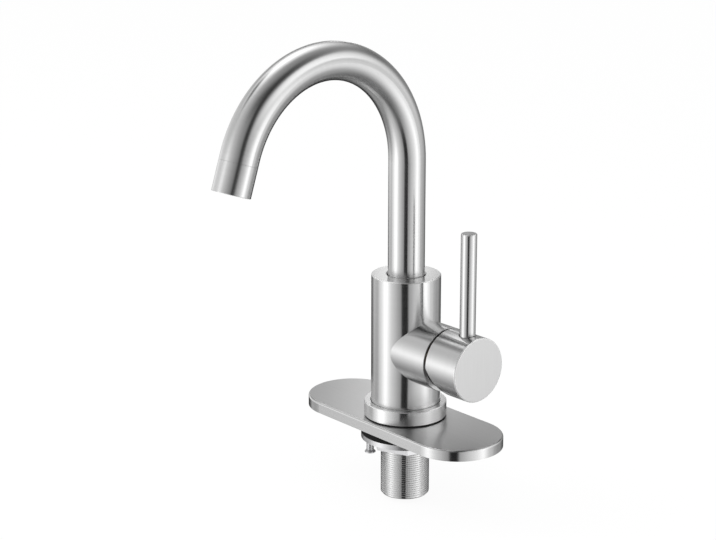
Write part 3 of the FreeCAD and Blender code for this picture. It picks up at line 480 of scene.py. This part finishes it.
def dress_all():
    """Give each CAD piece its finish."""
    dress(body_steel("body_steel"), "valve_body")
    # The base ring's lighter steel is painted light that brightens its reflections.
    dress(turned_steel("lit_ring_steel", UP, ORIGIN, OUT, colour=LIT_RING_STEEL), "base_ring")
    dress(turned_steel("hub_steel", OUT, middle("stem_pin"), UP, dull_ends=True), "handle_hub")
    dress(turned_steel("lever_steel", UP, middle("lever_rod"), OUT), "lever_rod")
    dress(turned_steel("outlet_steel", outlet_axis(), middle("spout_outlet"), OUT), "spout_outlet")
    dress(tube_steel("tube_steel"), "gooseneck")
    dress(plate_steel("plate_steel"), "deck_plate")
    dress(plain_metal("zinc_steel", ZINC, roughness=0.3), "steel_washer", "mounting_nut", "jack_screws",
          "stem_pin", "handle_grub_screw", "spout_grub_screw")
    dress(turned_steel("shank_steel", UP, ORIGIN, OUT), "threaded_shank")
    dress(plain_metal("screen_steel", STEEL, roughness=0.26), "aerator_housing", "aerator_screen")
    dress(plain_metal("brass", BRASS, roughness=0.3), "cartridge_stem", "spout_stem")
    # The nut's dark plating is partly painted shade in the gap between hub and barrel.
    dress(plain_metal("plated_brass", DARK_PLATING_AND_SHADE, roughness=0.4), "cartridge_nut")
    dress(moulded("rubber", RUBBER, roughness=0.7, gloss=0.1), "plate_seal", "base_gasket",
          "rubber_washer", "cartridge_seals", "swivel_seals", "aerator_seal_ring")
    dress(moulded("black_plastic", BLACK_PLASTIC, roughness=0.45), "plate_support")
    dress(moulded("pale_plastic", PALE_PLASTIC, roughness=0.4), "cartridge_base", "disc_carrier",
          "stem_carrier", "cartridge_housing", "glide_ring", "aerator_insert")
    dress(moulded("ceramic", CERAMIC, roughness=0.2, depth=LAPPED_DEPTH), "fixed_disc", "moving_disc")


# Threads and screws

def add_object(name, mesh_maker, material):
    """A new mesh object from a filled bmesh."""
    mesh = bpy.data.meshes.new(name)
    mesh_maker.normal_update()
    mesh_maker.to_mesh(mesh)
    mesh_maker.free()
    mesh.materials.append(material)
    made = bpy.data.objects.new(name, mesh)
    bpy.context.scene.collection.objects.link(made)
    return made


def add_thread(maker, spot, radius, pitch, low, high, chamfer, facets):
    """The helical surface of an outside thread, cut level at both ends and chamfered at the lower one."""
    depth = THREAD_DEPTH * pitch
    turns = range(-SPARE_TURNS, math.ceil((high - low) / pitch) + SPARE_TURNS)
    grid = []
    for turn in turns:
        for share, crest in THREAD_PROFILE:
            row = []
            for k in range(facets):
                z = low + (turn + share + k / facets) * pitch
                r = min(radius - depth * (1 - crest), radius - chamfer + max(0.0, z - low))
                angle = 2 * math.pi * k / facets
                row.append(maker.verts.new((spot.x + r * math.cos(angle), spot.y + r * math.sin(angle), z)))
            grid.append(row)
    step = len(THREAD_PROFILE)
    made = [v for row in grid for v in row]
    for i in range(len(grid) - step - 1):
        for k in range(facets):
            near = [grid[i][k], grid[i + 1][k]]
            if k + 1 < facets:
                far = [grid[i][k + 1], grid[i + 1][k + 1]]
            else:
                far = [grid[i + step][0], grid[i + step + 1][0]]
            made.append(maker.faces.new((near[0], far[0], far[1], near[1])))
    ends = []
    for level, side in ((low, -1), (high, 1)):
        parts = {g for g in made if g.is_valid}
        parts |= {e for f in parts if isinstance(f, bmesh.types.BMFace) for e in f.edges}
        cut = bmesh.ops.bisect_plane(
            maker, geom=list(parts), plane_co=(0, 0, level), plane_no=(0, 0, side), clear_outer=True
        )
        ends.append([g for g in cut["geom_cut"] if isinstance(g, bmesh.types.BMEdge)])
        made = [g for g in cut["geom"] if g.is_valid]
    return ends


def add_circle(maker, spot, radius, z, facets):
    """A ring of edges."""
    angles = [2 * math.pi * k / facets for k in range(facets)]
    places = [(spot.x + radius * math.cos(a), spot.y + radius * math.sin(a), z) for a in angles]
    verts = [maker.verts.new(place) for place in places]
    return [maker.edges.new((verts[k - 1], verts[k])) for k in range(facets)]


def make_shank(material):
    """The shank with its real thread, in place of the plain tube."""
    low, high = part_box("threaded_shank")
    radius = (high.x - low.x) / 2
    maker = bmesh.new()
    ends = add_thread(maker, ORIGIN, radius, SHANK_PITCH, low.z, high.z, SHANK_CHAMFER, SHANK_FACETS)
    bores = [add_circle(maker, ORIGIN, SHANK_BORE, z, SHANK_FACETS) for z in (low.z, high.z)]
    for end, bore in zip(ends, bores):
        bmesh.ops.bridge_loops(maker, edges=end + bore)
    bmesh.ops.bridge_loops(maker, edges=bores[0] + bores[1])
    bmesh.ops.recalc_face_normals(maker, faces=maker.faces)
    shank = add_object("shank_thread", maker, material)
    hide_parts("threaded_shank")
    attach(shank, "faucet_body")


def make_jack_screws(material):
    """Two screws with real threads, flared heads and round recesses, in place of the plain ones."""
    low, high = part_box("jack_screws")
    flare_foot = low.z + JACK_HEAD_HEIGHT
    flare_top = flare_foot + JACK_HEAD_RADIUS - JACK_RADIUS
    maker = bmesh.new()
    for side in (-1, 1):
        spot = Vector((side * (high.x - JACK_HEAD_RADIUS), side * (high.y - JACK_HEAD_RADIUS), 0))
        ends = add_thread(maker, spot, JACK_RADIUS, JACK_PITCH, flare_top, high.z, 0.0, JACK_FACETS)
        rings = [
            add_circle(maker, spot, radius, z, JACK_FACETS)
            for radius, z in (
                (JACK_HEAD_RADIUS, flare_foot),
                (JACK_HEAD_RADIUS, low.z + JACK_BEVEL),
                (JACK_HEAD_RADIUS - JACK_BEVEL, low.z),
                (RECESS_RADIUS, low.z),
                (RECESS_RADIUS, low.z + RECESS_DEPTH),
            )
        ]
        for near, far in zip([ends[0]] + rings, rings):
            bmesh.ops.bridge_loops(maker, edges=near + far)
        bmesh.ops.edgeloop_fill(maker, edges=rings[-1])
        bmesh.ops.edgeloop_fill(maker, edges=ends[1])
    bmesh.ops.recalc_face_normals(maker, faces=maker.faces)
    screws = add_object("jack_screw_threads", maker, material)
    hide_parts("jack_screws")
    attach(screws, "clamp_nut")


# Studio

def patch(azimuth, elevation, card):
    """What a soft-edged card does in a direction, from 0 beside it to its strength at its middle."""
    middle_azimuth, middle_elevation, half_width, half_height, strength, hardness = card
    across = abs((azimuth - middle_azimuth + 180) % 360 - 180) / half_width
    up = abs(elevation - middle_elevation) / half_height
    return strength * math.exp(-(across ** hardness) - up ** min(hardness, HARDEST_HEIGHT))


def tent_level(azimuth, elevation):
    """Brightness of the light tent in a direction. Azimuth counts from the camera to the right."""
    turn, rise = math.radians(azimuth), math.radians(elevation)
    way = (math.sin(turn) * math.cos(rise), math.cos(turn) * math.cos(rise), math.sin(rise))
    level = TENT_LEVEL + sum(slope * part for slope, part in zip(TENT_SLOPE, way))
    level += sum(patch(azimuth, elevation, card) for card in PANELS)
    for card in FLAGS:
        level *= 1 - patch(azimuth, elevation, card)
    return max(0.0, level)


def make_tent():
    """A light tent that only reflections see, with the panels and flags on it."""
    azimuths = list(range(-180, 181, AZIMUTH_STEP))
    elevations = list(range(-90, 91, ELEVATION_STEP))
    spots, levels = [], []
    for elevation in elevations:
        for azimuth in azimuths:
            a = math.radians(CAMERA_AZIMUTH + azimuth)
            e = math.radians(elevation)
            way = Vector((math.sin(a) * math.cos(e), -math.cos(a) * math.cos(e), math.sin(e)))
            spots.append(TENT_CENTRE + way * TENT_RADIUS)
            levels.append(tent_level(azimuth, elevation))
    wide = len(azimuths)
    faces = [
        (k, k + 1, k + wide + 1, k + wide)
        for row in range(len(elevations) - 1)
        for k in range(row * wide, row * wide + wide - 1)
    ]
    mesh = bpy.data.meshes.new("light_tent")
    mesh.from_pydata(spots, [], faces)
    mesh.attributes.new("level", "FLOAT", "POINT").data.foreach_set("value", levels)
    tent = bpy.data.objects.new("light_tent", mesh)
    bpy.context.scene.collection.objects.link(tent)
    material = bpy.data.materials.new("tent_light")
    material.use_nodes = True
    tree = material.node_tree
    tree.nodes.clear()
    level = tree.nodes.new("ShaderNodeAttribute")
    level.attribute_name = "level"
    light = tree.nodes.new("ShaderNodeEmission")
    result = tree.nodes.new("ShaderNodeOutputMaterial")
    tree.links.new(level.outputs["Fac"], light.inputs["Strength"])
    tree.links.new(light.outputs[0], result.inputs["Surface"])
    mesh.materials.append(material)
    for kind in ("camera", "diffuse", "shadow", "transmission"):
        setattr(tent, f"visible_{kind}", False)


def seen_directly(tree):
    """1 for rays from the camera and for reflections and refractions, 0 for light that fills the scene."""
    path = tree.nodes.new("ShaderNodeLightPath")
    total = path.outputs["Is Camera Ray"]
    for name in ("Is Glossy Ray", "Is Transmission Ray"):
        add = tree.nodes.new("ShaderNodeMath")
        add.operation = "MAXIMUM"
        tree.links.new(total, add.inputs[0])
        tree.links.new(path.outputs[name], add.inputs[1])
        total = add.outputs[0]
    return total


def make_world():
    """A white surround, a little dimmer as a source of light."""
    world = bpy.data.worlds.new("white_surround")
    bpy.context.scene.world = world
    world.use_nodes = True
    tree = world.node_tree
    back = tree.nodes["Background"]
    level = tree.nodes.new("ShaderNodeMapRange")
    level.inputs["To Min"].default_value = SURROUND_FILL
    level.inputs["To Max"].default_value = 1.0
    tree.links.new(seen_directly(tree), level.inputs["Value"])
    tree.links.new(level.outputs["Result"], back.inputs["Strength"])
    back.inputs["Color"].default_value = (1, 1, 1, 1)


def make_floor(height):
    """A white floor that keeps the object's soft shadow, hidden from reflections."""
    bpy.ops.mesh.primitive_plane_add(size=FLOOR_SIZE, location=(0, 0, height))
    floor = bpy.context.object
    floor.name = "floor"
    material = bpy.data.materials.new("floor_white")
    material.use_nodes = True
    tree = material.node_tree
    shade = tree.nodes["Principled BSDF"]
    shade.inputs["Base Color"].default_value = FLOOR_COLOUR
    shade.inputs["Roughness"].default_value = FLOOR_ROUGHNESS
    shade.inputs["Specular IOR Level"].default_value = 0.0
    glow = tree.nodes.new("ShaderNodeEmission")
    glow.inputs["Strength"].default_value = 1.0
    mix = tree.nodes.new("ShaderNodeMixShader")
    share = tree.nodes.new("ShaderNodeMath")
    share.operation = "MULTIPLY"
    share.inputs[1].default_value = FLOOR_WHITE
    tree.links.new(seen_directly(tree), share.inputs[0])
    tree.links.new(share.outputs[0], mix.inputs["Fac"])
    tree.links.new(shade.outputs[0], mix.inputs[1])
    tree.links.new(glow.outputs[0], mix.inputs[2])
    tree.links.new(mix.outputs[0], tree.nodes["Material Output"].inputs["Surface"])
    floor.data.materials.append(material)
    floor.visible_glossy = False


def make_lamp(name, place, power):
    """A soft lamp that fills the dull pieces and casts the shadow, hidden from reflections."""
    lamp = bpy.data.lights.new(name, "AREA")
    lamp.size = LAMP_SIZE
    lamp.energy = power
    holder = bpy.data.objects.new(name, lamp)
    holder.location = place
    holder.rotation_euler = (LAMP_TARGET - place).to_track_quat("-Z", "Y").to_euler()
    holder.visible_glossy = False
    bpy.context.scene.collection.objects.link(holder)


def make_camera():
    """The photograph's point of view."""
    lens = bpy.data.cameras.new("camera")
    lens.sensor_width = SENSOR_WIDTH
    lens.lens = FOCAL_PIXELS / PHOTO_WIDTH * SENSOR_WIDTH
    lens.clip_start = NEAREST_VIEW
    camera = bpy.data.objects.new("camera", lens)
    camera.location = CAMERA_PLACE
    camera.rotation_euler = (math.radians(90 - CAMERA_PITCH), 0, math.radians(CAMERA_AZIMUTH))
    bpy.context.scene.collection.objects.link(camera)
    bpy.context.scene.camera = camera


dress_all()
make_shank(nodes["threaded_shank"].data.materials[0])
make_jack_screws(nodes["jack_screws"].data.materials[0])
make_camera()
make_world()
make_floor(cad_box[0].z - FLOOR_GAP)
make_tent()
for lamp_name, lamp_place, lamp_power in LAMPS:
    make_lamp(lamp_name, lamp_place, lamp_power)
bpy.context.scene.view_settings.view_transform = "Standard"
